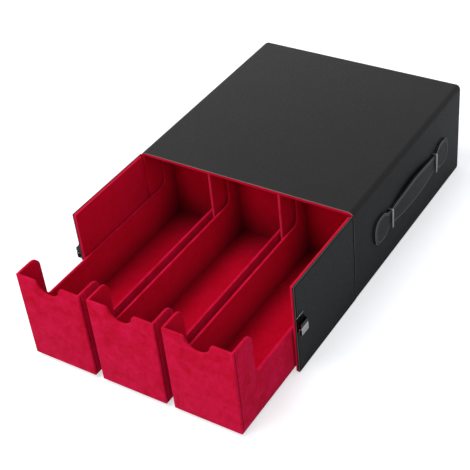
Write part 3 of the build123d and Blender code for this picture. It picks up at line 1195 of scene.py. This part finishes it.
def strapHalfWidth(size, along):
    # half the strap's width at a distance from its middle
    grip, neck, tab = size["gripHalf"], size["neckHalf"], size["tabHalf"]
    if along < size["neckStart"]:
        return grip + (neck - grip) * (along / size["neckStart"]) ** 2
    if along < size["neckEnd"]:
        return neck
    half = neck + (tab - neck) * ease((along - size["neckEnd"]) / (size["flareEnd"] - size["neckEnd"]))
    radius = size["tabRadius"]
    past = max(along - (size["halfLength"] - radius), 0)
    return half - radius + math.sqrt(max(radius * radius - past * past, 0))


def strapBow(size, along):
    # how far the strap's underside stands out from the case
    return size["strapGap"] + size["bow"] * ease(1 - (abs(along) - size["bowHalf"]) / size["riseLength"])


def strapMiddle(size, along):
    # the height of the strap's middle line, which arches a little between the loops
    return size["height"] + size["arch"] * ease(1 - (abs(along) - size["archHalf"]) / size["riseLength"])


def onCrown(size, share, end):
    def test(vert):
        along, height = vert.co.y / mm, vert.co.z / mm
        out = abs(height - strapMiddle(size, along))
        return along < end and out < share * strapHalfWidth(size, along)

    return test


def makeStrap(size):
    # half of the strap's face is drawn out station by station, mirrored, and then made thick
    stations = size["stations"]
    first = stations[1]
    clearSelection()
    bpy.ops.mesh.primitive_grid_add(
        x_subdivisions=size["columns"], y_subdivisions=1, size=1, rotation=(0, math.pi / 2, 0),
        location=((size["face"] + strapBow(size, 0)) * mm, first / 2 * mm, strapMiddle(size, 0) * mm),
    )
    bpy.context.object.scale = (2 * size["gripHalf"] * mm, first * mm, 1)
    piece = takePiece("handle_leather_strap")
    edit(piece)
    for before, here in zip(stations, stations[1:]):
        out = strapBow(size, here) - strapBow(size, before)
        up = strapMiddle(size, here) - strapMiddle(size, before)
        if here == first:
            pick("verts", at(y=here))
            movePicked(out, 0, up)
        else:
            pick("verts", at(y=before))
            bpy.ops.mesh.select_mode(type="EDGE")
            extrudePicked(out, here - before, up)
        ratio = strapHalfWidth(size, here) / strapHalfWidth(size, before)
        bpy.ops.transform.resize(
            value=(1, 1, ratio), center_override=(0, here * mm, strapMiddle(size, here) * mm)
        )
    # the face is a little crowned across its width, and flat again at its end
    for share, end in size["crownSteps"]:
        pick("verts", onCrown(size, share, end))
        movePicked(x=size["crown"] / len(size["crownSteps"]))
    done()
    applyModifier(piece, "MIRROR", use_axis=(False, True, False), merge_threshold=0.01 * mm)
    edit(piece)
    turnOutwards()
    if sum(face.normal.x for face in bmesh.from_edit_mesh(piece.data).faces) < 0:
        bpy.ops.mesh.flip_normals()
    done()
    giveThickness(piece, size["strapThickness"], 1)
    applyModifier(
        piece, "BEVEL", width=size["strapEdge"] * mm, segments=3, limit_method="ANGLE",
        angle_limit=math.radians(50), material=wearAndHighlightSlot, loop_slide=False,
    )
    finishPiece(piece, strapLeather, 60)
    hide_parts("handle_strap")
    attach(piece, "handle_strap")


def stitchLine(size):
    # the seam's path on the strap's face, as (along, height) pairs, running once round
    inset, steps, longest = size["stitchInset"], size["seamSteps"], size["halfLength"]
    reach = longest - inset
    upper = []
    for step in range(steps + 1):
        along = -reach + 2 * reach * step / steps
        inTab = abs(along) > longest - size["tabRadius"]
        stretched = abs(along) * longest / reach if inTab else abs(along)
        half = strapHalfWidth(size, min(stretched, longest)) - inset
        upper.append((along, strapMiddle(size, along) + half))
    lower = [(along, 2 * strapMiddle(size, along) - height) for along, height in reversed(upper)]
    return upper + lower + upper[:1]


def placeStitch(size, stitch, here, change):
    # one stitch at a point of the seam, laid along the seam's direction on the bowed face
    y, z = here
    length = math.hypot(*change)
    slope = (strapBow(size, y + 1) - strapBow(size, y - 1)) / 2
    out = size["face"] + strapBow(size, y) + size["strapThickness"] + size["stitchRise"]
    copy = duplicate(stitch)
    copy.location = (out * mm, y * mm, z * mm)
    way = Vector((slope * change[0] / length, change[0] / length, change[1] / length))
    copy.rotation_mode = "QUATERNION"
    copy.rotation_quaternion = way.to_track_quat("Z", "X")
    return copy


def makeStitches(size):
    line = stitchLine(size)
    stitch = startBar("handle_stitches", (0, 0, 0), size["stitchRadius"], size["stitchLength"], "Z", 6)
    edit(stitch)
    for end in (-1, 1):
        pick("faces", faces((0, 0, end)))
        insetPicked(size["endInset"])
        movePicked(x=-size["endSink"])
    done()
    made = []
    travelled, due = 0, 0
    for (fromY, fromZ), (toY, toZ) in zip(line, line[1:]):
        change = (toY - fromY, toZ - fromZ)
        length = math.hypot(*change)
        while length > 0 and due <= travelled + length:
            share = (due - travelled) / length
            here = (fromY + change[0] * share, fromZ + change[1] * share)
            made.append(placeStitch(size, stitch, here, change))
            due += size["stitchPitch"]
        travelled += length
    bpy.data.objects.remove(stitch)
    piece = joinPieces(made)
    applyPlace()
    piece.name = "handle_stitches"
    finishPiece(piece, blackThread, 60)
    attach(piece, "handle_strap")


for name, sign in (("front", -1), ("rear", 1)):
    makeLoop(handle, name, sign * handle["loopSpacing"] / 2)
makeStrap(handle)
makeStitches(handle)
print("handle is made")

# what stays as it is in the frame gets its finish

finishes = {
    "black_leatherette": blackLeatherette, "black_leather_strap": strapLeather, "red_suede": redSuede,
    "greyboard": greyboard, "gunmetal": gunmetal, "plain_steel": polishedSteel,
}
slotOf = {row["node"]: row["material_slot"] for row in frame["record"]["subparts"]}
for name, item in frame["nodes"].items():
    item.data.materials.clear()
    item.data.materials.append(finishes[slotOf[name]])
